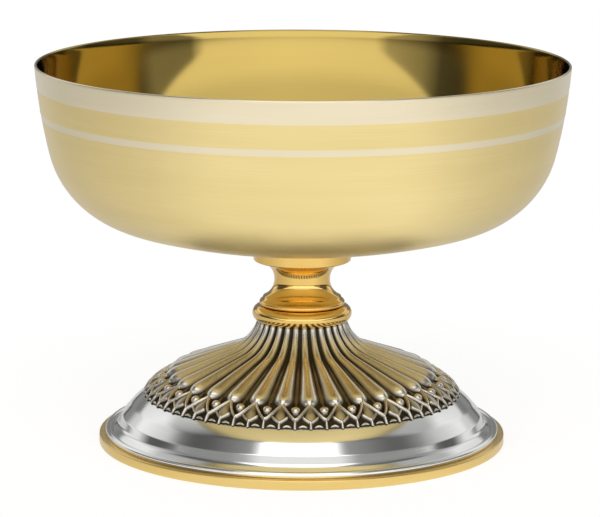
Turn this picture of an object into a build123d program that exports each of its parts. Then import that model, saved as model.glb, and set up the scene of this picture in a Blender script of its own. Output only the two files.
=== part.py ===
"""A footed bowl for baptisms: a spun, gilt bowl on a turned stem, with a cast leaf mantle over a spun foot.

The pieces stack on one axis, and a threaded rod pulls them together from inside the foot.
Frame: millimetres, +Z up, origin at the centre of the face that the foot stands on.
"""

from build123d import *
from math import acos, atan2, cos, degrees, radians, sin, sqrt
import os

UPRIGHT = (Align.CENTER, Align.CENTER, Align.MIN)
SEAT_GAP = 0.05  # between stacked pieces

# Bowl: three tangent arcs from the axis to the rim
BOWL_RADIUS = 89.0
RIM_HEIGHT = 128.5
BOWL_WALL = 1.0
LIP_RADIUS = 0.45
SHOULDER_RADIUS = 32.9  # where the floor turns up into the wall
WALL_RADIUS = 186.0  # the slight bulge of the upper wall
FLOOR_TURN = 15.5  # slope where the floor ends, in degrees
SHOULDER_TURN = 76.3  # slope where the shoulder ends
RIM_TURN = 85.6  # slope at the rim
FLOOR_RADIUS = SHOULDER_RADIUS + (
    BOWL_RADIUS
    - (SHOULDER_RADIUS - WALL_RADIUS) * sin(radians(SHOULDER_TURN))
    - WALL_RADIUS * sin(radians(RIM_TURN))
) / sin(radians(FLOOR_TURN))
FLOOR_CENTRE = (
    0.0,
    RIM_HEIGHT
    + (FLOOR_RADIUS - SHOULDER_RADIUS) * cos(radians(FLOOR_TURN))
    + (SHOULDER_RADIUS - WALL_RADIUS) * cos(radians(SHOULDER_TURN))
    + WALL_RADIUS * cos(radians(RIM_TURN)),
)
BOWL_BOTTOM = FLOOR_CENTRE[1] - FLOOR_RADIUS

# Tie rod and the boss that it screws into
ROD_RADIUS = 4.0  # M8
ROD_CHAMFER = 0.7
ROD_CLEARANCE = 0.3
THREAD_GAP = 0.05
BOSS_PLATE_RADIUS = 10.5
BOSS_PLATE_THICKNESS = 2.2
BOSS_RADIUS = 6.5
BOSS_BOTTOM = 54.0
BOSS_GAP = 0.15
BOSS_END_GAP = 1.0

# Stem
NECK_RADIUS = 9.35
NECK_HEIGHT = 55.4
SCOTIA_RADIUS = 6.4  # the hollow curve of the neck
SCOTIA_END = 66.0  # how far it runs below the neck, in degrees
FLANGE_RADIUS = 16.4
FLANGE_EDGE_RADIUS = 0.55
LIP_BEAD_RADIUS = 0.95
LIP_OUTER_RADIUS = 14.4
SPIGOT_RADIUS = 8.0
SPIGOT_LENGTH = 3.0
NODE_RING_TOP = 46.6
RING_TUBE = 2.7
RING_CENTRE = (14.05, 43.9)

# Spun foot: a flat crown, a hollow flare, a straight slope, a dome, a skirt, a cove and a rolled hem
FOOT_WALL = 1.2
CROWN_TOP = 38.3
FOOT_SLOPE = 22.4  # of the straight stretch, in degrees
SLOPE_LENGTH = 26.7
FLARE_RADIUS = 16.75
DOME_RADIUS = 31.7
DOME_CENTRE = (35.51, -10.02)
DOME_END = 43.5  # slope where the dome ends and a steeper, straight skirt begins, in degrees
CREASE = (60.5, 9.3)  # between the skirt and the cove
COVE_MIDDLE = (61.8, 6.6)
COVE_FOOT = (63.95, 4.5)
HEM_RADIUS = 1.15
HEM_CENTRE = (65.2, 4.25)

# Mantle, cast to fit over the foot
MANTLE_TOP = 41.4
MANTLE_WALL = 1.3
SKIRT_WALL = 0.5  # thinner behind the leaves
SHOULDER_END = 46.5
SKIRT_END = 30.5  # slope of the foot there, in degrees
LOBES = 32  # gadroons round the mantle
LOBE_TURN = 3.3  # from the X axis to the nearest gadroon, in degrees
GADROON_SHARE = 0.0625  # radius of a gadroon over its distance from the axis
GADROON_TURNS = (84.0, 62.0, 42.0, FOOT_SLOPE)  # slopes of the flare where its sections lie
GADROON_END = 6.0  # short of the end of the straight slope
ORNAMENT_ROOT = 0.25  # above the foot, inside the wall of the mantle
BEAD_RADIUS = 1.5
BEAD_CENTRE = (47.2, 21.2)

# Leaves below the gadroons, laid out on a sloping plane: X across, Y down to the tips
LEAF_SEAT = (50.1, 18.0)
LEAF_SLOPE = 30.0
LEAF_THICKNESS = 1.2
LEAF_ROOT = -4.4
LEAF_HALF_WIDTH = 4.3
LEAF_RIB = 0.45  # half the width of a rib
LEAF_FORK = 1.2
LEAF_TIP = 4.6
KITE_THICKNESS = 0.9
KITE_ROOT = -3.4
KITE_HALF_WIDTH = 1.7
KITE_SHOULDER = 1.4
KITE_TIP = 4.9

# Base ring
BASE_RADIUS = 68.4
BASE_RING_HEIGHT = 3.4
BASE_EDGE_RADIUS = 0.5

# Clamp inside the foot
CUP_WASHER_RADIUS = 10.5
CUP_WASHER_THICKNESS = 2.0
CUP_WASHER_CHAMFER = 0.6
SPRING_WASHER_RADIUS = 7.2
SPRING_WASHER_THICKNESS = 1.8
SPRING_WASHER_SLOT = 1.2
SPRING_WASHER_SKEW = 20.0  # of its slot, in degrees
NUT_ACROSS_FLATS = 13.0
NUT_HEIGHT = 6.5
NUT_BEVEL = 0.9
ROD_BELOW_NUT = 5.0

# The clamp's stack, from the crown down
CUP_WASHER_BOTTOM = CROWN_TOP - FOOT_WALL - SEAT_GAP - CUP_WASHER_THICKNESS
SPRING_WASHER_BOTTOM = CUP_WASHER_BOTTOM - SEAT_GAP - SPRING_WASHER_THICKNESS
NUT_BOTTOM = SPRING_WASHER_BOTTOM - SEAT_GAP - NUT_HEIGHT


def along_arc(centre, radius, slope):
    """The point below an arc's centre where the arc has that slope, in degrees."""
    return (centre[0] + radius * sin(radians(slope)), centre[1] - radius * cos(radians(slope)))


def bowl_side(inset):
    """Draws the bowl's side, inset from its outer face, in a BuildLine. Returns its end at the rim."""
    shoulder_centre = along_arc(FLOOR_CENTRE, FLOOR_RADIUS - SHOULDER_RADIUS, FLOOR_TURN)
    wall_centre = along_arc(shoulder_centre, SHOULDER_RADIUS - WALL_RADIUS, SHOULDER_TURN)
    CenterArc(FLOOR_CENTRE, FLOOR_RADIUS - inset, -90, FLOOR_TURN)
    CenterArc(shoulder_centre, SHOULDER_RADIUS - inset, FLOOR_TURN - 90, SHOULDER_TURN - FLOOR_TURN)
    CenterArc(wall_centre, WALL_RADIUS - inset, SHOULDER_TURN - 90, RIM_TURN - SHOULDER_TURN)
    return along_arc(wall_centre, WALL_RADIUS - inset, RIM_TURN)


def floor_height(radius):
    """Height of the bowl's outer face at a small radius."""
    return FLOOR_CENTRE[1] - sqrt(FLOOR_RADIUS**2 - radius**2)


def off_slope(start, offset):
    """A point moved out from the foot's straight slope, square to it."""
    return along_arc(start, -offset, -FOOT_SLOPE)


def slope_start():
    end = slope_end()
    return (
        end[0] - SLOPE_LENGTH * cos(radians(FOOT_SLOPE)),
        end[1] + SLOPE_LENGTH * sin(radians(FOOT_SLOPE)),
    )


def slope_end():
    return along_arc(DOME_CENTRE, -DOME_RADIUS, -FOOT_SLOPE)


def flare_centre():
    return off_slope(slope_start(), FLARE_RADIUS)


def foot_side(offset, top, end):
    """Draws flare, slope and dome, moved out by an offset, in a BuildLine. Returns both ends."""
    centre = flare_centre()
    radius = FLARE_RADIUS - offset
    start = degrees(acos((centre[1] - top) / radius))
    CenterArc(centre, radius, 270 - start, start - FOOT_SLOPE)
    Line(off_slope(slope_start(), offset), off_slope(slope_end(), offset))
    CenterArc(DOME_CENTRE, DOME_RADIUS + offset, 90 - end, end - FOOT_SLOPE)
    return along_arc(centre, radius, -start), along_arc(DOME_CENTRE, -DOME_RADIUS - offset, -end)


def make_bowl():
    with BuildPart() as bowl:
        with BuildSketch(Plane.XZ):
            with BuildLine():
                outer_rim = bowl_side(0.0)
                inner_rim = bowl_side(BOWL_WALL)
                Line(outer_rim, inner_rim)
                Line((0, BOWL_BOTTOM), (0, BOWL_BOTTOM + BOWL_WALL))
            make_face()
        revolve(axis=Axis.Z)
        fillet(bowl.edges().group_by(Axis.Z)[-1], LIP_RADIUS)
    return bowl


def make_bowl_boss():
    """A threaded boss, soldered under the bowl by its plate."""
    plate_bottom = BOWL_BOTTOM - BOSS_PLATE_THICKNESS
    plate_edge = (BOSS_PLATE_RADIUS, floor_height(BOSS_PLATE_RADIUS))
    with BuildPart() as boss:
        with BuildSketch(Plane.XZ):
            with BuildLine():
                Polyline(
                    (0, BOWL_BOTTOM),
                    (0, BOSS_BOTTOM),
                    (BOSS_RADIUS, BOSS_BOTTOM),
                    (BOSS_RADIUS, plate_bottom),
                    (BOSS_PLATE_RADIUS, plate_bottom),
                    plate_edge,
                )
                RadiusArc(plate_edge, (0, BOWL_BOTTOM), FLOOR_RADIUS)
            make_face()
        revolve(axis=Axis.Z)
        with Locations((0, 0, BOSS_BOTTOM)):
            Cylinder(
                ROD_RADIUS + THREAD_GAP,
                plate_bottom - BOSS_BOTTOM,
                align=UPRIGHT,
                mode=Mode.SUBTRACT,
            )
    return boss


def make_stem_spool():
    """Turned neck: flange under the bowl, hollow curve, lip, and a spigot that centres the node ring."""
    scotia_centre = (NECK_RADIUS + SCOTIA_RADIUS, NECK_HEIGHT)
    lip_centre = (LIP_OUTER_RADIUS - LIP_BEAD_RADIUS, NODE_RING_TOP + LIP_BEAD_RADIUS)
    lip_top = (lip_centre[0], lip_centre[1] + LIP_BEAD_RADIUS)
    flange_top = floor_height(FLANGE_RADIUS) - SEAT_GAP
    pocket_radius = BOSS_PLATE_RADIUS + BOSS_GAP
    pocket_top = floor_height(pocket_radius) - SEAT_GAP
    pocket_floor = BOWL_BOTTOM - BOSS_PLATE_THICKNESS - BOSS_GAP
    rod_bore = ROD_RADIUS + ROD_CLEARANCE
    boss_bore = BOSS_RADIUS + BOSS_GAP
    with BuildPart() as spool:
        with BuildSketch(Plane.XZ):
            with BuildLine():
                RadiusArc((pocket_radius, pocket_top), (FLANGE_RADIUS, flange_top), -FLOOR_RADIUS)
                Polyline(
                    (FLANGE_RADIUS, flange_top),
                    (FLANGE_RADIUS, NECK_HEIGHT + SCOTIA_RADIUS),
                    (scotia_centre[0], NECK_HEIGHT + SCOTIA_RADIUS),
                )
                CenterArc(scotia_centre, SCOTIA_RADIUS, 90, 90 + SCOTIA_END)
                Line(along_arc(scotia_centre, SCOTIA_RADIUS, SCOTIA_END - 90), lip_top)
                CenterArc(lip_centre, LIP_BEAD_RADIUS, 90, -180)
                Polyline(
                    (lip_centre[0], NODE_RING_TOP),
                    (SPIGOT_RADIUS, NODE_RING_TOP),
                    (SPIGOT_RADIUS, NODE_RING_TOP - SPIGOT_LENGTH),
                    (rod_bore, NODE_RING_TOP - SPIGOT_LENGTH),
                    (rod_bore, BOSS_BOTTOM - BOSS_END_GAP),
                    (boss_bore, BOSS_BOTTOM - BOSS_END_GAP),
                    (boss_bore, pocket_floor),
                    (pocket_radius, pocket_floor),
                    (pocket_radius, pocket_top),
                )
            make_face()
        revolve(axis=Axis.Z)
        flange_edges = spool.edges().filter_by(GeomType.CIRCLE).sort_by(SortBy.RADIUS)[-2:]
        fillet(flange_edges, FLANGE_EDGE_RADIUS)
    return spool


def make_node_ring():
    """Round collar between the stem and the mantle, bored for the stem's spigot."""
    bottom = MANTLE_TOP + SEAT_GAP
    top = NODE_RING_TOP - SEAT_GAP
    with BuildPart() as ring:
        with BuildSketch(Plane.XZ):
            with Locations(RING_CENTRE):
                Circle(RING_TUBE)
            with Locations((SPIGOT_RADIUS + SEAT_GAP, bottom)):
                Rectangle(
                    RING_CENTRE[0] + RING_TUBE,
                    top - bottom,
                    align=(Align.MIN, Align.MIN),
                    mode=Mode.INTERSECT,
                )
            with Locations((SPIGOT_RADIUS + SEAT_GAP, bottom)):
                Rectangle(RING_CENTRE[0] - SPIGOT_RADIUS, top - bottom, align=(Align.MIN, Align.MIN))
        revolve(axis=Axis.Z)
    return ring


def make_foot_core():
    """All that lies below the roots of the mantle's ornament: a tool for trimming it."""
    with BuildPart() as core:
        with BuildSketch(Plane.XZ):
            with BuildLine():
                top, edge = foot_side(ORNAMENT_ROOT, MANTLE_TOP, DOME_END)
                Polyline(top, (0, MANTLE_TOP), (0, 0), (edge[0], 0), edge)
            make_face()
        revolve(axis=Axis.Z)
    return core


def make_gadroon(core):
    """One gadroon: a round rod that widens as it runs down the mantle, with a round head."""
    lift = SEAT_GAP + MANTLE_WALL
    stations = [
        (along_arc(flare_centre(), FLARE_RADIUS - lift, -turn), turn) for turn in GADROON_TURNS
    ]
    end = slope_end()
    head = off_slope(
        (
            end[0] - GADROON_END * cos(radians(FOOT_SLOPE)),
            end[1] + GADROON_END * sin(radians(FOOT_SLOPE)),
        ),
        lift,
    )
    stations.append((head, FOOT_SLOPE))
    with BuildPart() as gadroon:
        for (r, z), turn in stations:
            along = (cos(radians(turn)), 0, -sin(radians(turn)))
            with BuildSketch(Plane((r, 0, z), x_dir=(0, 1, 0), z_dir=along)):
                Circle(GADROON_SHARE * r)
        loft()
        with Locations((head[0], 0, head[1])):
            Sphere(GADROON_SHARE * head[0])
        with Locations((0, 0, MANTLE_TOP)):
            Cylinder(BASE_RADIUS, RIM_HEIGHT, align=UPRIGHT, mode=Mode.SUBTRACT)
        add(core, mode=Mode.SUBTRACT)
    return gadroon


def leaf_plane(turn):
    """The leaves' plane at that angle round the axis."""
    down = Vector(cos(radians(LEAF_SLOPE)), 0, -sin(radians(LEAF_SLOPE)))
    out = Vector(sin(radians(LEAF_SLOPE)), 0, cos(radians(LEAF_SLOPE)))
    origin = Vector(LEAF_SEAT[0], 0, LEAF_SEAT[1])
    return Plane(
        origin.rotate(Axis.Z, turn),
        x_dir=down.cross(out).rotate(Axis.Z, turn),
        z_dir=out.rotate(Axis.Z, turn),
    )


def make_leaves(core):
    """The ornament of one pitch: a forked leaf below a bead, and a kite leaf below the gadroon."""
    half_pitch = 180.0 / LOBES
    with BuildPart() as leaves:
        with BuildSketch(leaf_plane(half_pitch).offset(-LEAF_THICKNESS)):
            Polygon(
                (LEAF_HALF_WIDTH, LEAF_ROOT),
                (LEAF_RIB, LEAF_FORK),
                (0, LEAF_TIP),
                (-LEAF_RIB, LEAF_FORK),
                (-LEAF_HALF_WIDTH, LEAF_ROOT),
                (2 * LEAF_RIB - LEAF_HALF_WIDTH, LEAF_ROOT),
                (0, LEAF_FORK - 4 * LEAF_RIB),
                (LEAF_HALF_WIDTH - 2 * LEAF_RIB, LEAF_ROOT),
                align=None,
            )
        extrude(amount=2 * LEAF_THICKNESS)
        with BuildSketch(leaf_plane(0.0).offset(-LEAF_THICKNESS)):
            Polygon(
                (0, KITE_ROOT),
                (KITE_HALF_WIDTH, KITE_SHOULDER),
                (0, KITE_TIP),
                (-KITE_HALF_WIDTH, KITE_SHOULDER),
                align=None,
            )
        extrude(amount=LEAF_THICKNESS + KITE_THICKNESS)
        with Locations(Vector(BEAD_CENTRE[0], 0, BEAD_CENTRE[1]).rotate(Axis.Z, half_pitch)):
            Sphere(BEAD_RADIUS)
        add(core, mode=Mode.SUBTRACT)
    return leaves


def make_leaf_mantle():
    """Cast mantle: a flared shell with gadroons above and two rows of pointed leaves at its edge."""
    bore = ROD_RADIUS + ROD_CLEARANCE
    under = CROWN_TOP + SEAT_GAP
    core = make_foot_core().part
    gadroon = make_gadroon(core).part
    leaves = make_leaves(core).part
    with BuildPart() as mantle:
        with BuildSketch(Plane.XZ):
            with BuildLine():
                neck, edge = foot_side(SEAT_GAP + MANTLE_WALL, MANTLE_TOP, SKIRT_END)
                crown, skirt = foot_side(SEAT_GAP, under, SKIRT_END)
                Line(edge, skirt)
                Polyline(crown, (bore, under), (bore, MANTLE_TOP), neck)
            make_face()
            Rectangle(2 * SHOULDER_END, RIM_HEIGHT, mode=Mode.INTERSECT)
            with BuildLine():
                neck, edge = foot_side(SEAT_GAP + SKIRT_WALL, under + SKIRT_WALL, SKIRT_END)
                crown, skirt = foot_side(SEAT_GAP, under, SKIRT_END)
                Line(edge, skirt)
                Line(crown, neck)
            make_face()
        revolve(axis=Axis.Z)
        with PolarLocations(0, LOBES, start_angle=LOBE_TURN):
            add(gadroon)
            add(leaves)
    return mantle


def make_foot_dome():
    """Spun shell: a crown inside the mantle, then a dome, a skirt, a cove and a rolled hem."""
    bore = ROD_RADIUS + ROD_CLEARANCE
    crown_under = CROWN_TOP - FOOT_WALL
    hem_top = (HEM_CENTRE[0], HEM_CENTRE[1] + HEM_RADIUS)
    hem_edge = (HEM_CENTRE[0] + HEM_RADIUS, HEM_CENTRE[1])
    with BuildPart() as dome:
        with BuildSketch(Plane.XZ):
            with BuildLine():
                crown, brow = foot_side(0.0, CROWN_TOP, DOME_END)
                inner_crown, inner_brow = foot_side(-FOOT_WALL, crown_under, DOME_END)
                skirt_slope = atan2(brow[1] - CREASE[1], CREASE[0] - brow[0])
                Line(brow, CREASE)
                ThreePointArc(CREASE, COVE_MIDDLE, COVE_FOOT)
                ThreePointArc(COVE_FOOT, hem_top, hem_edge)
                Polyline(
                    hem_edge,
                    (hem_edge[0], BASE_RING_HEIGHT),
                    (COVE_FOOT[0] - FOOT_WALL, BASE_RING_HEIGHT),
                    (COVE_MIDDLE[0] - FOOT_WALL, COVE_MIDDLE[1] - HEM_RADIUS / 2),
                    (CREASE[0] - FOOT_WALL * sin(skirt_slope), CREASE[1] - FOOT_WALL * cos(skirt_slope)),
                    inner_brow,
                )
                Polyline(crown, (bore, CROWN_TOP), (bore, crown_under), inner_crown)
            make_face()
        revolve(axis=Axis.Z)
    return dome


def make_base_ring():
    """Turned ring that the foot stands on, with its outer edges broken."""
    with BuildPart() as ring:
        with BuildSketch(Plane.XZ):
            with Locations((BASE_RADIUS, 0)):
                Rectangle(
                    BASE_RADIUS - COVE_FOOT[0] + 2 * FOOT_WALL,
                    BASE_RING_HEIGHT - SEAT_GAP,
                    align=(Align.MAX, Align.MIN),
                )
        revolve(axis=Axis.Z)
        outer_edges = ring.edges().filter_by(GeomType.CIRCLE).sort_by(SortBy.RADIUS)[-2:]
        fillet(outer_edges, BASE_EDGE_RADIUS)
    return ring


def make_tie_rod():
    top = BOWL_BOTTOM - BOSS_PLATE_THICKNESS - BOSS_END_GAP
    bottom = NUT_BOTTOM - ROD_BELOW_NUT
    with BuildPart() as rod:
        with Locations((0, 0, bottom)):
            Cylinder(ROD_RADIUS, top - bottom, align=UPRIGHT)
        chamfer(rod.edges().filter_by(GeomType.CIRCLE), ROD_CHAMFER)
    return rod


def make_cup_washer():
    """Broad washer that spreads the nut's pull over the crown of the foot."""
    with BuildPart() as washer:
        with BuildSketch(Plane.XY.offset(CUP_WASHER_BOTTOM)):
            Circle(CUP_WASHER_RADIUS)
            Circle(ROD_RADIUS + ROD_CLEARANCE, mode=Mode.SUBTRACT)
        extrude(amount=CUP_WASHER_THICKNESS)
        chamfer(washer.edges().group_by(Axis.Z)[0].sort_by(SortBy.RADIUS)[-1], CUP_WASHER_CHAMFER)
    return washer


def make_spring_washer():
    """Split washer, drawn pressed flat."""
    with BuildPart() as washer:
        with BuildSketch(Plane.XY.offset(SPRING_WASHER_BOTTOM)):
            Circle(SPRING_WASHER_RADIUS)
            Circle(ROD_RADIUS + ROD_CLEARANCE, mode=Mode.SUBTRACT)
            with Locations((SPRING_WASHER_RADIUS, 0)):
                Rectangle(
                    SPRING_WASHER_RADIUS,
                    SPRING_WASHER_SLOT,
                    rotation=SPRING_WASHER_SKEW,
                    mode=Mode.SUBTRACT,
                )
        extrude(amount=SPRING_WASHER_THICKNESS)
    return washer


def make_clamp_nut():
    """Hexagon nut with its corners turned off on both faces."""
    corner = NUT_ACROSS_FLATS / 2 / cos(radians(30))
    face = corner - NUT_BEVEL
    rise = NUT_BEVEL / 2
    top = NUT_BOTTOM + NUT_HEIGHT
    with BuildPart() as nut:
        with BuildSketch(Plane.XY.offset(NUT_BOTTOM)):
            RegularPolygon(corner, 6)
        extrude(amount=NUT_HEIGHT)
        with BuildSketch(Plane.XZ):
            Polygon(
                (0, NUT_BOTTOM),
                (face, NUT_BOTTOM),
                (corner, NUT_BOTTOM + rise),
                (corner, top - rise),
                (face, top),
                (0, top),
                align=None,
            )
        revolve(axis=Axis.Z, mode=Mode.INTERSECT)
        with Locations((0, 0, NUT_BOTTOM)):
            Cylinder(ROD_RADIUS + THREAD_GAP, NUT_HEIGHT, align=UPRIGHT, mode=Mode.SUBTRACT)
    return nut


MAKERS = {
    "bowl": make_bowl,
    "bowl_boss": make_bowl_boss,
    "stem_spool": make_stem_spool,
    "node_ring": make_node_ring,
    "leaf_mantle": make_leaf_mantle,
    "foot_dome": make_foot_dome,
    "base_ring": make_base_ring,
    "tie_rod": make_tie_rod,
    "cup_washer": make_cup_washer,
    "spring_washer": make_spring_washer,
    "clamp_nut": make_clamp_nut,
}

os.makedirs("parts", exist_ok=True)
for name, make in MAKERS.items():
    piece = make()
    piece.part.label = name
    export_step(piece.part, f"parts/{name}.step")
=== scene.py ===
"""Looks of the footed baptismal bowl: lathe-turned metal pieces, a cast mantle and a plain studio."""

from math import acos, asin, cos, degrees, hypot, pi, radians, sin, tau

import bpy
import numpy as np
from mathutils import Matrix, Vector


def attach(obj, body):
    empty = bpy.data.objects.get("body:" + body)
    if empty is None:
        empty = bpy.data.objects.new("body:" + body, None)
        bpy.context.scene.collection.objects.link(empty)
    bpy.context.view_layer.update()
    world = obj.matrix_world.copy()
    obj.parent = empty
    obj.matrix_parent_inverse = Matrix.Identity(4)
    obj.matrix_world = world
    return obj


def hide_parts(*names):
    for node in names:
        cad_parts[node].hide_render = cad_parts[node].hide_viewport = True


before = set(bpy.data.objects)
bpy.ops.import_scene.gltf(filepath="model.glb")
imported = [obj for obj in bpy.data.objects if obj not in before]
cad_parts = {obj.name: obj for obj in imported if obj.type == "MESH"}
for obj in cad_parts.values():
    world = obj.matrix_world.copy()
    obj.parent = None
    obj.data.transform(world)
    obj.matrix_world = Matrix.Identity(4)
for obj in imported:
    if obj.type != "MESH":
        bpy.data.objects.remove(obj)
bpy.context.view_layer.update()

MM = 0.001

# Bowl: three tangent arcs from the axis to the rim, as in the CAD model (millimetres and degrees)
BOWL_RADIUS = 89.0
RIM_HEIGHT = 128.5
BOWL_WALL = 1.0
SHOULDER_RADIUS = 32.9
WALL_RADIUS = 186.0
FLOOR_TURN = 15.5
SHOULDER_TURN = 76.3
RIM_TURN = 85.6
FLOOR_RADIUS = SHOULDER_RADIUS + (
    BOWL_RADIUS
    - (SHOULDER_RADIUS - WALL_RADIUS) * sin(radians(SHOULDER_TURN))
    - WALL_RADIUS * sin(radians(RIM_TURN))
) / sin(radians(FLOOR_TURN))
FLOOR_CENTRE_Z = (
    RIM_HEIGHT
    + (FLOOR_RADIUS - SHOULDER_RADIUS) * cos(radians(FLOOR_TURN))
    + (SHOULDER_RADIUS - WALL_RADIUS) * cos(radians(SHOULDER_TURN))
    + WALL_RADIUS * cos(radians(RIM_TURN))
)
BOWL_BOTTOM = FLOOR_CENTRE_Z - FLOOR_RADIUS
RIM_BAND = (120.85, 127.9)  # pale plated bands on the outside, between these heights
THIN_BAND = (110.8, 113.0)
BAND_EDGES = (RIM_BAND[0], *THIN_BAND)

LIP_SHRINK = 0.03  # the lip is this much smaller than half the wall, to stay inside the CAD lip
LIP_CLEAR = 0.05  # the sides of the bowl stop this far below the lip's centre

# Stem: flange under the bowl, hollow neck, lip and spigot. Centres and corners are (radius, height)
FLANGE_RADIUS = 16.4
FLANGE_ROUND = 0.55
FLANGE_DISH = 0.3  # how much lower the flange is at its hole than at its edge
BOWL_CLEARANCE = 0.1
NECK_HOLLOW = 6.4
NECK_CENTRE = (15.75, 55.4)
NECK_END = 66  # degrees past the narrowest point, where the hollow meets the lip
LIP_BEAD = 0.95
LIP_CENTRE = (13.45, 47.55)
FLANGE_HOLE = 11.0
STEM_INSIDE = (  # spigot, rod bore, boss bore and the floor of the socket under the bowl
    (8.0, 46.6),
    (8.0, 43.6),
    (4.3, 43.6),
    (4.3, 53.0),
    (6.65, 53.0),
    (6.65, 64.0),
    (10.6, 64.0),
)

# Node ring: a round collar
RING_CENTRE = (14.05, 43.9)
RING_TUBE = 2.7
RING_BORE = 8.05
RING_TOP = 46.55
RING_BOTTOM = 41.45

# Foot under the mantle: flare, straight slope and dome; then the crease, the cove and the hem
CROWN_TOP = 38.3
FOOT_SLOPE = 22.4
SLOPE_LENGTH = 26.7
FLARE_RADIUS = 16.75
DOME_RADIUS = 31.7
DOME_CENTRE = (35.51, -10.02)
DOME_END = 43.5
FOOT_WALL = 1.2
ROD_HOLE = 4.3
CREASE = (60.5, 9.3)
CREASE_ROUND = 1.2
COVE_FLOOR = (61.75, 6.3)
COVE_ROUND = 3.0
COVE_FOOT = (64.0, 4.6)
HEM_RADIUS = 1.15
HEM_CENTRE = (65.2, 4.25)
HEM_INSIDE = ((HEM_CENTRE[0] + HEM_RADIUS, 3.4), (62.75, 3.4), (60.6, 6.0), (59.6, 8.5))

# Ring that the foot stands on
BASE_BORE = 61.3
BASE_RADIUS = 68.4
BASE_HEIGHT = 3.35
BASE_ROUND = 0.5
BASE_BREAK = 0.15

# Mantle. A run is a distance along the foot's side, down from the height RUN_START
RUN_START = 43.5
MANTLE_TOP = 41.4
LOBES = 32
LOBE_TURN = 3.3
HEAD_START = 37.2  # run where the gadroons start to narrow
HEAD_END = 42.2  # run where they come to a point
BEAD_RUN = 44.1
BEAD_RADIUS = 1.7
BEAD_SEAT = 1.15  # height of a bead's centre
CUP_FOOT = 48.4  # run where the two ribs of a cup meet below its bead
CUP_REACH = 18.9
CUP_CURVE = 1.4
FORK = 49.4  # run where a leaf's tip forks
ARM_REACH = 11.0
ARM_CURVE = 1.3
TIP = 51.6
LEAF_START = 41.0
GADROON_RISE = 0.0625  # height of a gadroon over the radius
HEAD_DROP = 0.9  # share of its height squared that a gadroon loses at its point
GADROON_ROUND = 0.85  # below 1 a gadroon is fuller than a cosine
STEM_START = 14  # run where the stems in the grooves begin to rise
STEM_EASE = 10
STEM_RISE = 0.45
STEM_HALF = 0.42
CUP_HALF = 0.55  # half widths of the ribs
MIDRIB_HALF = 0.5
ARM_HALF = 0.45
TIP_HALF = 0.45
SCALLOP_HALF = 0.42
RIB_JOIN = 0.3  # a rib starts this far above the ribs that it grows from
BLADE_RISE = 0.62  # heights as shares of the ribs'
ARM_RISE = 0.95
SCALLOP_RISE = 0.85
CUP_END = 0.015  # a cup's ribs end this share of a pitch from the gadroon's middle
ARM_SPREAD = 0.27  # an arm ends this share of a pitch from the leaf's middle
SCALLOP_RUN = 51.9
SCALLOP_RADIUS = 1.35
HOLLOW_DEPTH = 0.75
HOLLOW_HALF = 3.0
HOLLOW_EASE = 1.2
HOLLOW_FADE = 2.0
EDGE_DEPTH = 0.95  # how far the toothed edge draws back between the tips
EDGE_LOBE = 0.25
SKIN = 1.35  # thickness of the casting between the gadroons
SEAT = 0.05  # gap between the casting and the foot
# Heights over the foot and widths, as (run, value) pairs. SWELL is a gadroon's half width over the radius
GROUND = ((0, SKIN), (36, SKIN), (42, 1.55), (46, 1.35), (49, 0.7), (TIP, 0.15))
SWELL = ((0, 0.074), (20, 0.074), (30, 0.080), (HEAD_START, 0.086))
CROWN = ((40, 2.6), (42, 2.75), (44, 2.7), (46, 2.45), (48, 2.05), (49.5, 1.6), (51, 0.9), (TIP, 0.45))
BLADE_HALF = ((42.5, 0.3), (47.0, 2.1), (49.0, 1.6), (50.0, 0.1))
GROOVE_WEAR = 0.14  # relief value of the grooves

TOUCH = 1e-6  # lengths closer than this are equal
THIN = 1e-3  # the least width that is divided by


# ---------------------------------------------------------------- profiles

def on_arc(centre, radius, slope):
    """The point below an arc's centre where the arc has that slope, in degrees."""
    return (centre[0] + radius * sin(radians(slope)), centre[1] - radius * cos(radians(slope)))


def around(centre, radius, angles):
    """Points round a centre, at angles in degrees from level and outward."""
    return [(centre[0] + radius * cos(radians(a)), centre[1] + radius * sin(radians(a))) for a in angles]


def arc(centre, radius, start, end, step=0.8):
    """Points along an arc between two slopes, at most a step apart."""
    count = max(2, int(abs(radians(end - start)) * abs(radius) / step) + 1)
    return [on_arc(centre, radius, start + (end - start) * i / count) for i in range(count + 1)]


def rounded(corners, step=0.8, facets=5):
    """A path through corners (r, z, fillet radius), with round corners and no long segments."""
    path = []
    for i, (r, z, fillet) in enumerate(corners):
        here = np.array((r, z))
        if not fillet or i in (0, len(corners) - 1):
            path.append(here)
            continue
        back = np.array(corners[i - 1][:2]) - here
        ahead = np.array(corners[i + 1][:2]) - here
        back /= np.linalg.norm(back)
        ahead /= np.linalg.norm(ahead)
        half = acos(np.clip(back @ ahead, -1, 1)) / 2
        reach = fillet / np.tan(half)
        centre = here + (back + ahead) / np.linalg.norm(back + ahead) * fillet / sin(half)
        first = here + back * reach - centre
        last = here + ahead * reach - centre
        sweep = pi - 2 * half
        for k in range(facets + 1):
            t = k / facets
            path.append(centre + (first * sin((1 - t) * sweep) + last * sin(t * sweep)) / sin(sweep))
    return resampled(path, step)


def resampled(path, step=0.8):
    """The path with extra points, so that no segment is longer than a step."""
    out = [tuple(path[0])]
    for a, b in zip(path, path[1:]):
        a, b = np.array(a, float), np.array(b, float)
        count = max(1, int(np.ceil(np.linalg.norm(b - a) / step)))
        out.extend(tuple(a + (b - a) * k / count) for k in range(1, count + 1))
    return out


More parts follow.
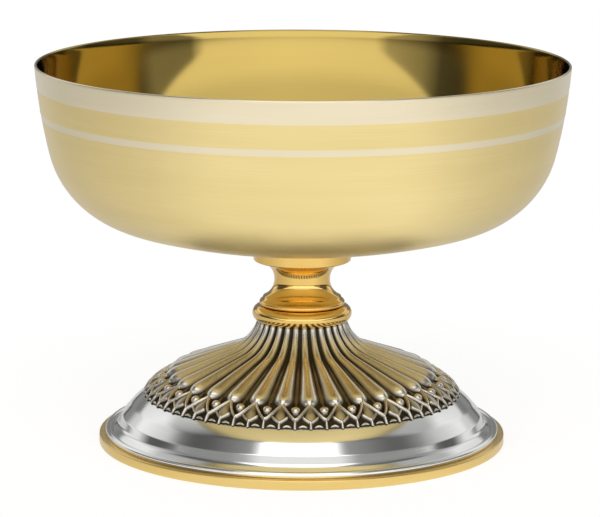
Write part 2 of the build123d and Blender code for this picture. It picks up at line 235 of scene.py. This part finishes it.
def bowl_side(inset, step=1.4):
    """The outside of the bowl from the axis to the rim, moved in by an inset."""
    floor = (0.0, FLOOR_CENTRE_Z)
    shoulder = on_arc(floor, FLOOR_RADIUS - SHOULDER_RADIUS, FLOOR_TURN)
    wall = on_arc(shoulder, SHOULDER_RADIUS - WALL_RADIUS, SHOULDER_TURN)
    points = arc(floor, FLOOR_RADIUS - inset, 0, FLOOR_TURN, step)
    points += arc(shoulder, SHOULDER_RADIUS - inset, FLOOR_TURN, SHOULDER_TURN, step)[1:]
    points += arc(wall, WALL_RADIUS - inset, SHOULDER_TURN, RIM_TURN, step)[1:]
    return points


def off_slope(start, offset):
    """A point moved out from the foot's straight slope."""
    return on_arc(start, -offset, -FOOT_SLOPE)


SLOPE_END = on_arc(DOME_CENTRE, -DOME_RADIUS, -FOOT_SLOPE)
SLOPE_START = (
    SLOPE_END[0] - SLOPE_LENGTH * cos(radians(FOOT_SLOPE)),
    SLOPE_END[1] + SLOPE_LENGTH * sin(radians(FOOT_SLOPE)),
)
FLARE_CENTRE = off_slope(SLOPE_START, FLARE_RADIUS)


def foot_side(offset, top, end, step=0.8):
    """Flare, slope and dome of the foot, moved out by an offset, from a height down to a slope."""
    radius = FLARE_RADIUS - offset
    start = degrees(acos((FLARE_CENTRE[1] - top) / radius))
    points = arc(FLARE_CENTRE, radius, -start, -FOOT_SLOPE, step)
    points += resampled([off_slope(SLOPE_START, offset), off_slope(SLOPE_END, offset)], step)[1:]
    points += arc(DOME_CENTRE, -(DOME_RADIUS + offset), -FOOT_SLOPE, -end, step)[1:]
    return points


# ---------------------------------------------------------------- meshes

def new_mesh(name, vertices, faces, materials, face_material=None, attributes=None):
    """A smooth-shaded mesh object in metres from points in millimetres."""
    mesh = bpy.data.meshes.new(name)
    mesh.from_pydata([tuple(v) for v in np.asarray(vertices) * MM], [], faces)
    for material in materials:
        mesh.materials.append(material)
    if face_material is not None:
        mesh.polygons.foreach_set("material_index", np.asarray(face_material, np.int32))
    for key, values in (attributes or {}).items():
        layer = mesh.attributes.new(key, "FLOAT", "POINT")
        layer.data.foreach_set("value", np.asarray(values, np.float32))
    mesh.polygons.foreach_set("use_smooth", np.ones(len(mesh.polygons), bool))
    mesh.validate()
    mesh.update()
    obj = bpy.data.objects.new(name, mesh)
    bpy.context.scene.collection.objects.link(obj)
    return obj


def lathe(name, profile, materials, zones=None, segments=256, closed=True):
    """A turned piece. The profile runs with the metal on its left; a closed one joins its ends."""
    profile = [tuple(p) for p in profile]
    angles = np.arange(segments) * tau / segments
    ring = np.column_stack((np.sin(angles), -np.cos(angles)))
    vertices, along, starts = [], [], []
    run = 0.0
    for i, (r, z) in enumerate(profile):
        if i:
            run += hypot(r - profile[i - 1][0], z - profile[i - 1][1])
        pole = r < TOUCH
        circle = np.zeros((1, 2)) if pole else ring * r
        starts.append((len(along), pole))
        vertices.extend((x, y, z) for x, y in circle)
        along.extend([run] * len(circle))
    faces, marks = [], []
    pairs = list(zip(range(len(profile) - 1), range(1, len(profile))))
    if closed:
        pairs.append((len(profile) - 1, 0))
    for i, j in pairs:
        (a, a_pole), (b, b_pole) = starts[i], starts[j]
        for k in range(segments):
            n = (k + 1) % segments
            if a_pole and b_pole:
                break
            if a_pole:
                faces.append((a, b + n, b + k))
            elif b_pole:
                faces.append((a + k, a + n, b))
            else:
                faces.append((a + k, a + n, b + n, b + k))
            marks.append(zones[i] if zones else 0)
    return new_mesh(name, vertices, faces, materials, marks, {"along": along})


# ---------------------------------------------------------------- materials

MIX_COLOUR_INPUTS = (0, 6, 7)  # factor, first and second colour of a Mix node
MIX_COLOUR_OUTPUT = 2


class Nodes:
    """Short names for the nodes that the materials and the studio share."""

    def __init__(self, tree):
        self.tree = tree

    def add(self, kind, **settings):
        node = self.tree.nodes.new(kind)
        for key, value in settings.items():
            setattr(node, key, value)
        return node

    def link(self, source, target):
        self.tree.links.new(source, target)

    def math(self, operation, a, b=None, clamp=False):
        node = self.add("ShaderNodeMath", operation=operation, use_clamp=clamp)
        for socket, value in zip(node.inputs, (a, b)):
            if value is None:
                continue
            if isinstance(value, (int, float)):
                socket.default_value = value
            else:
                self.link(value, socket)
        return node.outputs[0]

    def ramp(self, fac, stops):
        node = self.add("ShaderNodeValToRGB")
        elements = node.color_ramp.elements
        while len(elements) < len(stops):
            elements.new(0.5)
        for element, (position, colour) in zip(elements, stops):
            element.position = position
            element.color = (*colour, 1.0)
        self.link(fac, node.inputs["Fac"])
        return node.outputs["Color"]

    def attribute(self, name):
        return self.add("ShaderNodeAttribute", attribute_name=name).outputs["Fac"]

    def noise(self, vector, scale, detail=2.0, roughness=0.5):
        node = self.add("ShaderNodeTexNoise")
        node.inputs["Scale"].default_value = scale
        node.inputs["Detail"].default_value = detail
        node.inputs["Roughness"].default_value = roughness
        self.link(vector, node.inputs["Vector"])
        return node.outputs["Fac"]

    def mix(self, fac, a, b):
        node = self.add("ShaderNodeMix", data_type="RGBA")
        factor, first, second = (node.inputs[k] for k in MIX_COLOUR_INPUTS)
        self.link(fac, factor)
        self.link(a, first)
        if isinstance(b, tuple):
            second.default_value = (*b, 1.0)
        else:
            self.link(b, second)
        return node.outputs[MIX_COLOUR_OUTPUT]

    def scaled(self, colour, factor):
        node = self.add("ShaderNodeVectorMath", operation="SCALE")
        self.link(colour, node.inputs[0])
        self.link(factor, node.inputs["Scale"])
        return node.outputs[0]

    def place(self, coordinates):
        """The separate x, y and z of one kind of texture coordinates."""
        xyz = self.add("ShaderNodeSeparateXYZ")
        self.link(self.add("ShaderNodeTexCoord").outputs[coordinates], xyz.inputs[0])
        return [xyz.outputs[k] for k in "XYZ"]

    def azimuth(self, x, y):
        """The angle round the axis, 0 at the front and growing to the right."""
        return self.math("ARCTAN2", x, self.math("MULTIPLY", y, -1.0))

    def round_levels(self, angle, levels):
        """A grey that follows the azimuth through (degrees, level) pairs."""
        turn = self.math("ADD", self.math("DIVIDE", angle, tau), 0.5)
        return self.ramp(turn, [(degrees_right / 360.0 + 0.5, (v, v, v)) for degrees_right, v in levels])

    def step(self, value, start, end):
        """0 below the start, 1 above the end."""
        return self.ramp(value, [(start, (0, 0, 0)), (end, (1, 1, 1))])

    def seen_and_lit(self, seen, lit, target):
        """One shader for what the camera sees directly, another for all other light."""
        mix = self.add("ShaderNodeMixShader")
        self.link(self.add("ShaderNodeLightPath").outputs["Is Camera Ray"], mix.inputs["Fac"])
        self.link(lit, mix.inputs[1])
        self.link(seen, mix.inputs[2])
        self.link(mix.outputs[0], target)

    def turned(self, per_mm, around=3.0):
        """Coordinates for marks left by turning: long round the axis, fine along the profile."""
        x, y, _ = self.place("Object")
        angle = self.azimuth(x, y)
        ring = self.add("ShaderNodeCombineXYZ")
        self.link(self.math("MULTIPLY", self.math("SINE", angle), around), ring.inputs["X"])
        self.link(self.math("MULTIPLY", self.math("COSINE", angle), around), ring.inputs["Y"])
        self.link(self.math("MULTIPLY", self.attribute("along"), per_mm), ring.inputs["Z"])
        return ring.outputs[0]

    def bump(self, height, strength, distance):
        node = self.add("ShaderNodeBump")
        node.inputs["Strength"].default_value = strength
        node.inputs["Distance"].default_value = distance
        self.link(height, node.inputs["Height"])
        return node.outputs["Normal"]


def new_material(name):
    """A metal with nothing set but that it is one, with its node helper and its shader."""
    material = bpy.data.materials.new(name)
    material.use_nodes = True
    nodes = Nodes(material.node_tree)
    shader = material.node_tree.nodes["Principled BSDF"]
    shader.inputs["Metallic"].default_value = 1.0
    return material, nodes, shader


def turned_metal(name, dark, light, rough, anisotropy, line, per_mm, around):
    """Metal finished on a lathe: fine lines round the axis in its colour, gloss and surface."""
    material, nodes, shader = new_material(name)
    lines = nodes.noise(nodes.turned(per_mm, around), 1.0, 3.0, 0.6)
    cloud = nodes.noise(nodes.turned(0.15, 1.5), 1.0, 2.0, 0.5)
    tone = nodes.math("ADD", nodes.math("MULTIPLY", lines, 0.6), nodes.math("MULTIPLY", cloud, 0.4))
    nodes.link(nodes.ramp(tone, [(0.3, dark), (0.7, light)]), shader.inputs["Base Color"])
    spread = nodes.math("MULTIPLY", nodes.math("SUBTRACT", tone, 0.5), 0.5 * rough)
    nodes.link(nodes.math("ADD", spread, rough), shader.inputs["Roughness"])
    nodes.link(nodes.bump(lines, line, 0.00002), shader.inputs["Normal"])
    if anisotropy:
        shader.inputs["Anisotropic"].default_value = anisotropy
        shader.inputs["Anisotropic Rotation"].default_value = 0.25
        tangent = nodes.add("ShaderNodeTangent", direction_type="RADIAL", axis="Z")
        nodes.link(tangent.outputs[0], shader.inputs["Tangent"])
    return material


def antiqued_silver(name):
    """Silver plate that is bright on the crests and oxidised in the grooves."""
    material, nodes, shader = new_material(name)
    coords = nodes.add("ShaderNodeTexCoord").outputs["Object"]
    grain = nodes.noise(coords, 900.0, 4.0, 0.6)
    blotch = nodes.noise(coords, 120.0, 3.0, 0.6)
    relief = nodes.attribute("relief")
    wander = nodes.math("MULTIPLY", nodes.math("SUBTRACT", blotch, 0.5), 0.25)
    worn = nodes.math("ADD", relief, wander, clamp=True)
    stops = (
        (0.0, (0.018, 0.014, 0.008)),
        (0.3, (0.08, 0.066, 0.042)),
        (0.6, (0.38, 0.34, 0.27)),
        (1.0, (0.74, 0.70, 0.62)),
    )
    nodes.link(nodes.ramp(worn, stops), shader.inputs["Base Color"])
    nodes.link(nodes.math("SUBTRACT", 0.52, nodes.math("MULTIPLY", worn, 0.29)), shader.inputs["Roughness"])
    nodes.link(nodes.bump(grain, 0.15, 0.00004), shader.inputs["Normal"])
    return material


GOLD_SATIN = turned_metal(
    "gold_satin", dark=(0.79, 0.63, 0.27), light=(0.90, 0.73, 0.36),
    rough=0.33, anisotropy=0.6, line=0.3, per_mm=10.0, around=2.0,
)
GOLD_PALE = turned_metal(
    "gold_pale", dark=(0.80, 0.70, 0.48), light=(0.86, 0.77, 0.57),
    rough=0.30, anisotropy=0.5, line=0.2, per_mm=10.0, around=2.0,
)
# Mirror gilding inside the bowl, about half as bright as real gilding: a darker copy of the gold, painted
# shade for the inside of the bowl
GOLD_MIRROR_SHADED = turned_metal(
    "gold_mirror_painted_shade", dark=(0.40, 0.288, 0.08), light=(0.424, 0.312, 0.092),
    rough=0.07, anisotropy=0.0, line=0.05, per_mm=6.0, around=2.0,
)
GOLD_POLISHED = turned_metal(
    "gold_polished", dark=(0.80, 0.51, 0.14), light=(0.88, 0.60, 0.20),
    rough=0.10, anisotropy=0.0, line=0.08, per_mm=12.0, around=3.0,
)
GOLD_RING = turned_metal(
    "gold_ring", dark=(0.76, 0.53, 0.17), light=(0.85, 0.62, 0.23),
    rough=0.28, anisotropy=0.3, line=0.2, per_mm=12.0, around=3.0,
)
SILVER_SPUN = turned_metal(
    "silver_spun", dark=(0.78, 0.78, 0.76), light=(0.88, 0.88, 0.87),
    rough=0.12, anisotropy=0.5, line=0.2, per_mm=9.0, around=2.0,
)
SILVER_ANTIQUE = antiqued_silver("silver_antique")
BRASS_RAW = turned_metal(
    "brass_raw", dark=(0.55, 0.38, 0.14), light=(0.72, 0.52, 0.24),
    rough=0.32, anisotropy=0.0, line=0.4, per_mm=8.0, around=3.0,
)
STEEL_ZINC = turned_metal(
    "steel_zinc", dark=(0.48, 0.50, 0.52), light=(0.66, 0.67, 0.70),
    rough=0.30, anisotropy=0.0, line=0.3, per_mm=6.0, around=3.0,
)


# ---------------------------------------------------------------- pieces

def settle(obj, slot, *replaced):
    """Fix a piece to the body and hide the CAD node that it replaces; its slot is not used."""
    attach(obj, "root")
    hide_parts(*replaced)
    return obj


def make_bowl():
    """Spun shell. Zones: satin outside, two pale bands, mirror inside whose darker gilding is painted
    shade.
    """
    outer = bowl_side(0.0)
    inner = bowl_side(BOWL_WALL)
    heights = np.array([z for _, z in outer])
    for edge in BAND_EDGES:
        nearest = int(np.argmin(np.abs(heights - edge)))
        outer[nearest] = (outer[nearest][0], edge)
    lip_radius = BOWL_WALL / 2 - LIP_SHRINK
    lip_centre = ((outer[-1][0] + inner[-1][0]) / 2, RIM_HEIGHT - lip_radius)
    outer = [p for p in outer if p[1] < lip_centre[1] - LIP_CLEAR]
    inner = [p for p in inner if p[1] < lip_centre[1] - LIP_CLEAR]
    lip = around(lip_centre, lip_radius, range(0, 181, 15))
    profile = outer + lip + inner[::-1]
    satin, pale, mirror = range(3)
    zones = []
    for i, (_, z) in enumerate(profile):
        middle = (z + profile[min(i + 1, len(profile) - 1)][1]) / 2
        if i >= len(outer) + len(lip) // 2:
            zones.append(mirror)
        elif RIM_BAND[0] < middle or THIN_BAND[0] < middle < THIN_BAND[1]:
            zones.append(pale)
        else:
            zones.append(satin)
    bowl = lathe("bowl_shell", profile, [GOLD_SATIN, GOLD_PALE, GOLD_MIRROR_SHADED], zones, 288, closed=False)
    return settle(bowl, "gilt_brushed", "bowl")


def make_stem():
    """Turned neck between the bowl and the node ring."""
    hollow = around(NECK_CENTRE, NECK_HOLLOW, range(90, 180 + NECK_END + 1, 3))
    top = BOWL_BOTTOM + FLANGE_RADIUS**2 / 2 / FLOOR_RADIUS - BOWL_CLEARANCE
    bottom = NECK_CENTRE[1] + NECK_HOLLOW
    flange = rounded(
        [
            (FLANGE_HOLE, top - FLANGE_DISH, 0),
            (FLANGE_RADIUS, top, FLANGE_ROUND),
            (FLANGE_RADIUS, bottom, FLANGE_ROUND),
            (NECK_CENTRE[0], bottom, 0),
        ],
        0.5,
    )
    lip = around(LIP_CENTRE, LIP_BEAD, range(90, -91, -12))
    spigot = resampled([lip[-1], STEM_INSIDE[0]], 1.0)
    profile = flange[:-1] + hollow + lip + spigot[1:] + list(STEM_INSIDE[1:])
    stem = lathe("stem_neck", profile[::-1], [GOLD_POLISHED], segments=160)
    return settle(stem, "gilt_polished", "stem_spool")


def make_node_ring():
    """Round collar, flat above and below, that the stem's spigot goes through."""
    start = -asin((RING_CENTRE[1] - RING_BOTTOM) / RING_TUBE)
    end = asin((RING_TOP - RING_CENTRE[1]) / RING_TUBE)
    outside = around(RING_CENTRE, RING_TUBE, np.degrees(np.linspace(start, end, 40)))
    top = resampled([outside[-1], (RING_BORE, RING_TOP)])
    bore = resampled([(RING_BORE, RING_TOP), (RING_BORE, RING_BOTTOM)], 1.0)
    bottom = resampled([(RING_BORE, RING_BOTTOM), outside[0]])
    profile = outside + top[1:] + bore[1:] + bottom[1:-1]
    ring = lathe("node_collar", profile, [GOLD_POLISHED], segments=160)
    return settle(ring, "gilt_polished", "node_ring")


def make_foot_dome():
    """Spun foot with its cove and rolled hem."""
    outer = foot_side(0.0, CROWN_TOP, DOME_END, 1.0)
    corners = [(*outer[-1], 0), (*CREASE, CREASE_ROUND), (*COVE_FLOOR, COVE_ROUND), (*COVE_FOOT, 0)]
    cove = rounded(corners, 0.4)
    hem = around(HEM_CENTRE, HEM_RADIUS, range(168, -1, -8))
    inner_brow = on_arc(DOME_CENTRE, -(DOME_RADIUS - FOOT_WALL), -DOME_END)
    skirt = resampled([*HEM_INSIDE, inner_brow], 1.0)
    inner = foot_side(-FOOT_WALL, CROWN_TOP - FOOT_WALL, DOME_END, 1.0)
    crown = [(ROD_HOLE, CROWN_TOP - FOOT_WALL), (ROD_HOLE, CROWN_TOP)]
    profile = outer + cove[1:] + hem + skirt + inner[::-1][1:] + crown
    return settle(lathe("foot_spun", profile[::-1], [SILVER_SPUN]), "silver_polished", "foot_dome")


def make_base_ring():
    """Plain ring with its outer edges rounded."""
    corners = [
        (BASE_BORE, BASE_HEIGHT, 0),
        (BASE_BORE, 0.0, BASE_BREAK),
        (BASE_RADIUS, 0.0, BASE_ROUND),
        (BASE_RADIUS, BASE_HEIGHT, BASE_ROUND),
        (BASE_BORE, BASE_HEIGHT, 0),
    ]
    profile = rounded(corners, 0.6)[:-1]
    return settle(lathe("base_gilt", profile, [GOLD_RING]), "gilt_satin", "base_ring")


def mantle_line():
    """Arc length, radius, height and outward normal along the foot from the top of the mantle."""
    points = np.array(foot_side(0.0, RUN_START, DOME_END, 0.05))
    run = np.r_[0, np.cumsum(np.hypot(*np.diff(points, axis=0).T))]
    slope = np.gradient(points, run, axis=0)
    return run, points, np.column_stack((-slope[:, 1], slope[:, 0]))


LINE_RUN, LINE_POINTS, LINE_NORMALS = mantle_line()


def by_run(s, table):
    """A value that follows the run through (run, value) pairs."""
    return np.interp(s, *zip(*table))


def ridge(distance, width):
    """A rounded rib: 1 on its line, 0 beyond its half width."""
    return np.sqrt(np.clip(1.0 - (distance / width) ** 2, 0.0, 1.0))


def from_line(s, across, start, reach, curve, pitch):
    """Distance from the curved line that rises from a run by reach * across ** curve."""
    lean = reach * curve * np.maximum(across, 0.02) ** (curve - 1) / pitch
    return (s - (start - reach * across**curve)) / np.sqrt(1 + lean**2)


def gadroons(s, x, r):
    """Height and relief of the gadroons, whose heads draw in to a point."""
    taper = np.clip((s - HEAD_START) / (HEAD_END - HEAD_START), 0.0, 1.0)
    half = by_run(s, SWELL) * r * np.sqrt(np.clip(1.0 - taper**2.4, 0.0, 1.0))
    crest = GADROON_RISE * r * np.sqrt(1.0 - HEAD_DROP * taper**2.6)
    body = np.cos(np.clip(np.abs(x) / np.maximum(half, THIN), 0.0, 1.0) * pi / 2) ** GADROON_ROUND
    return np.where(s < HEAD_END, SKIN + crest * body, 0.0), np.clip(body * 1.35 + 0.05, 0.0, 1.0)


def leaf_band(u, s, pitch, cup_off, ground, rise):
    """Height of the ribs, blades, forks and scallops below the gadroons."""
    x = u * pitch
    across = np.abs(u)
    gap = (0.5 - across) * pitch
    cup = ridge(cup_off, CUP_HALF) * (across > CUP_END)
    midrib = ridge(gap, MIDRIB_HALF) * (s > CUP_FOOT - RIB_JOIN)
    blade = BLADE_RISE * ridge(x, by_run(s, BLADE_HALF)) * (cup_off > 0)
    arm_off = from_line(s, across, FORK, ARM_REACH, ARM_CURVE, pitch)
    arm = ARM_RISE * ridge(arm_off, ARM_HALF) * (across < ARM_SPREAD)
    tip_rib = ridge(x, TIP_HALF) * (s > FORK - RIB_JOIN)
    scallop_off = np.hypot((across - 0.25) * pitch, s - SCALLOP_RUN) - SCALLOP_RADIUS
    scallop = SCALLOP_RISE * ridge(scallop_off, SCALLOP_HALF)
    leaves = ground + rise * np.maximum.reduce([cup, midrib, blade, arm, tip_rib, scallop])
    return np.where(s > LEAF_START, leaves, 0.0)


def mantle_heights(u, s, r):
    """Height over the foot and relief (0 in the grooves, 1 on the crests) of the mantle.

    u is 0 on a gadroon and 0.5 in the groove beside it; s is the run and r the foot's radius there.
    """
    pitch = tau * r / LOBES
    across = 0.5 - np.abs(u)
    gap = across * pitch
    ground = by_run(s, GROUND)
    rise = by_run(s, CROWN) - ground
    rods, rod_relief = gadroons(s, u * pitch, r)

    # a thin stem runs down each groove to its bead
    stem_in = np.clip((s - STEM_START) / STEM_EASE, 0, 1) * (s < BEAD_RUN)
    stem = ground + STEM_RISE * ridge(gap, STEM_HALF) * stem_in

    # two ribs start beside the gadroons' tips and meet below the bead, round a hollow
    cup_off = from_line(s, across, CUP_FOOT, CUP_REACH, CUP_CURVE, pitch)
    leaves = leaf_band(u, s, pitch, cup_off, ground, rise)
    inside = np.clip(-cup_off / HOLLOW_EASE, 0, 1) * np.clip((s - LEAF_START) / HOLLOW_FADE, 0, 1)
    hollow = np.clip(1 - (gap / HOLLOW_HALF) ** 2, 0, 1) * inside
    bead_off = np.hypot(gap, s - BEAD_RUN)
    bead_body = ridge(bead_off, BEAD_RADIUS)
    bead = np.where(bead_off <= BEAD_RADIUS, BEAD_SEAT + BEAD_RADIUS * bead_body, -1.0)

    height = np.maximum.reduce([rods, stem, leaves, bead])
    bare = height <= ground + TOUCH
    height = np.where(bare, ground - HOLLOW_DEPTH * hollow, height)
    leaf_relief = np.clip((leaves - ground) / (0.75 * rise) - 0.1, 0.0, 1.0)
    relief = np.where(rods >= np.maximum(leaves, stem) - TOUCH, rod_relief, leaf_relief)
    on_stem = (stem > ground + TOUCH) & (stem >= height - TOUCH)
    relief = np.where(on_stem, GROOVE_WEAR + 0.3 * stem_in, relief)
    relief = np.where(bead >= height - TOUCH, np.clip(bead_body * 1.6, 0, 1), relief)
    return height, np.where(height <= ground + TOUCH, GROOVE_WEAR, relief)


def mantle_edge(u):
    """Run of the toothed edge: a tip at every half pitch, and round scallops between."""
    quarter = np.abs(np.abs(u) - 0.25) / 0.25
    return TIP - EDGE_DEPTH * (1 - quarter**2) + EDGE_LOBE * np.cos(quarter * pi / 2) ** 2


def mantle_row(columns, run_of_u, flat=None):
    """Points, relief and runs of one row round the mantle; a flat row keeps one height."""
    k = np.arange(columns * LOBES)
    angle = radians(LOBE_TURN) + k * tau / (columns * LOBES)
    u = (k % columns) / columns
    u = np.where(u > 0.5, u - 1.0, u)
    s = run_of_u(u)
    if flat is None:
        height, worn = mantle_heights(u, s, np.interp(s, LINE_RUN, LINE_POINTS[:, 0]))
    else:
        height, worn = np.full(len(u), flat), np.zeros(len(u))
    r, z = (
        np.interp(s, LINE_RUN, LINE_POINTS[:, i]) + height * np.interp(s, LINE_RUN, LINE_NORMALS[:, i])
        for i in range(2)
    )
    return np.column_stack((r * np.cos(angle), r * np.sin(angle), z)), worn, s


def band_faces(a, n, b, m):
    """Faces between a row of n points from index a and a row of m from b: equal, double or half."""
    if n == m:
        return [(a + k, b + k, b + (k + 1) % n, a + (k + 1) % n) for k in range(n)]
    if n < m:
        return [
            (a + k, b + 2 * k, b + 2 * k + 1, b + (2 * k + 2) % m, a + (k + 1) % n) for k in range(n)
        ]
    return [(a + 2 * k, b + k, b + (k + 1) % m, a + (2 * k + 2) % n, a + 2 * k + 1) for k in range(m)]


def make_mantle():
    """Cast mantle: gadroons above on a coarser grid, leaves below on a grid twice as fine."""
    coarse, fine = 20, 40
    leaf_top, leaf_rows = 40.2, 50

    def level(s):
        return lambda u: np.full(len(u), s)

    top = float(np.interp(-MANTLE_TOP, -LINE_POINTS[:, 1], LINE_RUN))
    upper = np.r_[np.linspace(top, 36.0, 30), np.linspace(36.7, 39.8, 6)]
    rows = [mantle_row(coarse, level(s)) for s in upper]
    for i in range(leaf_rows + 1):
        rows.append(mantle_row(fine, lambda u: leaf_top + (mantle_edge(u) - leaf_top) * (i / leaf_rows)))
    rows.append(mantle_row(fine, mantle_edge, SEAT))
    under = (50.0, 45.0, 38.0, 20.0, 17.0, 14.5, 12.0, 9.5, 7.0, 4.5, top)
    rows += [mantle_row(coarse, level(s), SEAT) for s in under]

    points, relief, runs = (np.concatenate(column) for column in zip(*rows))
    counts = [len(row[2]) for row in rows]
    ends = [*zip(np.cumsum([0, *counts[:-1]]).tolist(), counts)]
    faces = []
    for (a, n), (b, m) in zip(ends, ends[1:] + ends[:1]):
        faces += band_faces(a, n, b, m)
    attributes = {"relief": relief, "along": runs}
    mantle = new_mesh("mantle_cast", points, faces, [SILVER_ANTIQUE], attributes=attributes)
    return settle(mantle, "silver_antiqued", "leaf_mantle")


make_bowl()
make_stem()
make_node_ring()
make_foot_dome()
make_base_ring()
make_mantle()

for node, material in (
    ("bowl_boss", BRASS_RAW),
    ("tie_rod", STEEL_ZINC),
    ("cup_washer", STEEL_ZINC),
    ("spring_washer", STEEL_ZINC),
    ("clamp_nut", STEEL_ZINC),
):
    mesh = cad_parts[node].data
    mesh.materials.clear()
    mesh.materials.append(material)


# ---------------------------------------------------------------- studio

FLOOR_HALF = 3.0  # metres
FLOOR_CELLS = 40
FLOOR_LEVEL = (
    (-180, 0.72), (-120, 0.62), (-70, 0.8), (-35, 1.0), (45, 1.05), (80, 0.8), (125, 0.62), (180, 0.72),
)


def floor_material():
    """Near white to the camera; all other light sees a glow that follows the azimuth."""
    material = bpy.data.materials.new("floor_white")
    material.use_nodes = True
    nodes = Nodes(material.node_tree)
    shader = material.node_tree.nodes["Principled BSDF"]
    shader.inputs["Base Color"].default_value = (0.28, 0.28, 0.28, 1.0)
    shader.inputs["Roughness"].default_value = 0.9
    shader.inputs["Specular IOR Level"].default_value = 0.0
    shader.inputs["Emission Color"].default_value = (1.0, 1.0, 1.0, 1.0)
    shader.inputs["Emission Strength"].default_value = 0.82
    x, y, _ = nodes.place("Object")
    glow = nodes.add("ShaderNodeEmission")
    nodes.link(nodes.round_levels(nodes.azimuth(x, y), FLOOR_LEVEL), glow.inputs["Color"])
    surface = material.node_tree.nodes["Material Output"].inputs["Surface"]
    nodes.seen_and_lit(shader.outputs[0], glow.outputs[0], surface)
    return material


def make_floor():
    """Plain floor, divided into cells."""
    steps = np.linspace(-FLOOR_HALF, FLOOR_HALF, FLOOR_CELLS + 1)
    row = len(steps)
    vertices = [(x, y, 0.0) for y in steps for x in steps]
    corners = [j * row + i for j in range(FLOOR_CELLS) for i in range(FLOOR_CELLS)]
    faces = [(c, c + 1, c + row + 1, c + row) for c in corners]
    mesh = bpy.data.meshes.new("floor")
    mesh.from_pydata(vertices, [], faces)
    mesh.materials.append(floor_material())
    floor = bpy.data.objects.new("floor", mesh)
    bpy.context.scene.collection.objects.link(floor)


# Brightness round the horizon as (degrees to the right of the camera's side, level), for four
# heights: near the horizon, just above it, half-way up and high up
NEAR_LEVEL = (
    (-180, 0.12), (-150, 0.12), (-144, 0.42), (-124, 0.4), (-112, 0.06), (-76, 0.04), (-66, 0.06),
    (-56, 0.24), (-39, 0.38), (-33, 0.82), (8, 0.85), (45, 0.80), (52, 0.18), (72, 0.19), (80, 0.06),
    (112, 0.06), (124, 0.4), (144, 0.42), (150, 0.12), (180, 0.12),
)
LOW_LEVEL = (
    (-180, 0.5), (-110, 0.5), (-90, 0.4), (-84, 0.75), (8, 0.85), (86, 0.75), (94, 0.4), (112, 0.5),
    (180, 0.5),
)
MIDDLE_LEVEL = (
    (-180, 0.55), (-134, 1.0), (-108, 0.6), (-85, 0.27), (-50, 0.32), (-38, 0.45), (-28, 0.9),
    (26, 0.9), (38, 0.35), (60, 0.3), (85, 0.3), (110, 0.55), (134, 0.95), (180, 0.55),
)
HIGH_LEVEL = (
    (-180, 0.6), (-134, 0.62), (-119, 0.42), (-107, 0.22), (-96, 0.10), (-85, 0.11), (-70, 0.2),
    (-50, 0.3), (-41, 1.7), (36, 1.7), (45, 0.32), (60, 0.26), (82, 0.13), (92, 0.13), (101, 0.25),
    (110, 0.45), (134, 0.5), (180, 0.6),
)

# Heights are 0 straight down, 0.5 level and 1 straight up
FRONT_GAIN = ((0.516, 0.5), (0.532, 2.2), (0.578, 2.2), (0.61, 1.69))
GAIN_UNIT = 4.0
NEAR_END = (0.455, 0.462)
NEAR_MIDDLE = radians(6)  # azimuth where the near zone reaches least high
NEAR_SLANT = 0.12
LOW_END = (0.645, 0.665)
MIDDLE_END = (0.79, 0.83)
CEILING = (0.965, 0.985)
CEILING_COLOUR = (0.8, 0.8, 0.8)


def make_world():
    """White studio with a broad bright front, two darker gaps beside it and paler sides."""
    world = bpy.data.worlds.new("studio")
    bpy.context.scene.world = world
    world.use_nodes = True
    nodes = Nodes(world.node_tree)
    x, y, z = nodes.place("Generated")
    angle = nodes.azimuth(x, y)
    height = nodes.math("MULTIPLY", nodes.math("ADD", z, 1.0), 0.5)
    near, low, middle, high = (
        nodes.round_levels(angle, levels) for levels in (NEAR_LEVEL, LOW_LEVEL, MIDDLE_LEVEL, HIGH_LEVEL)
    )
    aside = nodes.math("ABSOLUTE", nodes.math("SUBTRACT", angle, NEAR_MIDDLE))
    slanted = nodes.math("SUBTRACT", height, nodes.math("MULTIPLY", aside, NEAR_SLANT))
    gain = nodes.ramp(height, [(at, (value / GAIN_UNIT,) * 3) for at, value in FRONT_GAIN])
    sky = nodes.mix(nodes.step(slanted, *NEAR_END), near, low)
    sky = nodes.scaled(sky, nodes.math("MULTIPLY", gain, GAIN_UNIT))
    sky = nodes.mix(nodes.step(height, *LOW_END), sky, middle)
    sky = nodes.mix(nodes.step(height, *MIDDLE_END), sky, high)
    sky = nodes.mix(nodes.step(height, *CEILING), sky, CEILING_COLOUR)
    lit = world.node_tree.nodes["Background"]
    nodes.link(sky, lit.inputs["Color"])
    seen = nodes.add("ShaderNodeBackground")
    seen.inputs["Color"].default_value = (1.0, 1.0, 1.0, 1.0)
    surface = world.node_tree.nodes["World Output"].inputs["Surface"]
    nodes.seen_and_lit(seen.outputs[0], lit.outputs[0], surface)


CAMERA_LENS = 197.36  # millimetres
CAMERA_NEAR = 0.01
CAMERA_PLACE = (0.0, -1.0836, 0.2737)
CAMERA_YAW = -0.000698  # radians
CAMERA_PITCH = 0.19275
CAMERA_ROLL = 0.00413


def make_camera():
    """A long lens in front of the bowl and a little above it."""
    data = bpy.data.cameras.new("camera")
    data.lens = CAMERA_LENS
    data.clip_start = CAMERA_NEAR
    camera = bpy.data.objects.new("camera", data)
    bpy.context.scene.collection.objects.link(camera)
    yaw, pitch, roll = CAMERA_YAW, CAMERA_PITCH, CAMERA_ROLL
    ahead = Vector((sin(yaw) * cos(pitch), cos(yaw) * cos(pitch), -sin(pitch)))
    level = Vector((cos(yaw), -sin(yaw), 0.0))
    right = level * cos(roll) + level.cross(ahead) * sin(roll)
    up = right.cross(ahead)
    axes = Matrix((right, up, -ahead)).transposed()
    camera.matrix_world = Matrix.Translation(CAMERA_PLACE) @ axes.to_4x4()
    bpy.context.scene.camera = camera


make_floor()
make_world()
make_camera()
bpy.context.scene.view_settings.view_transform = "Standard"
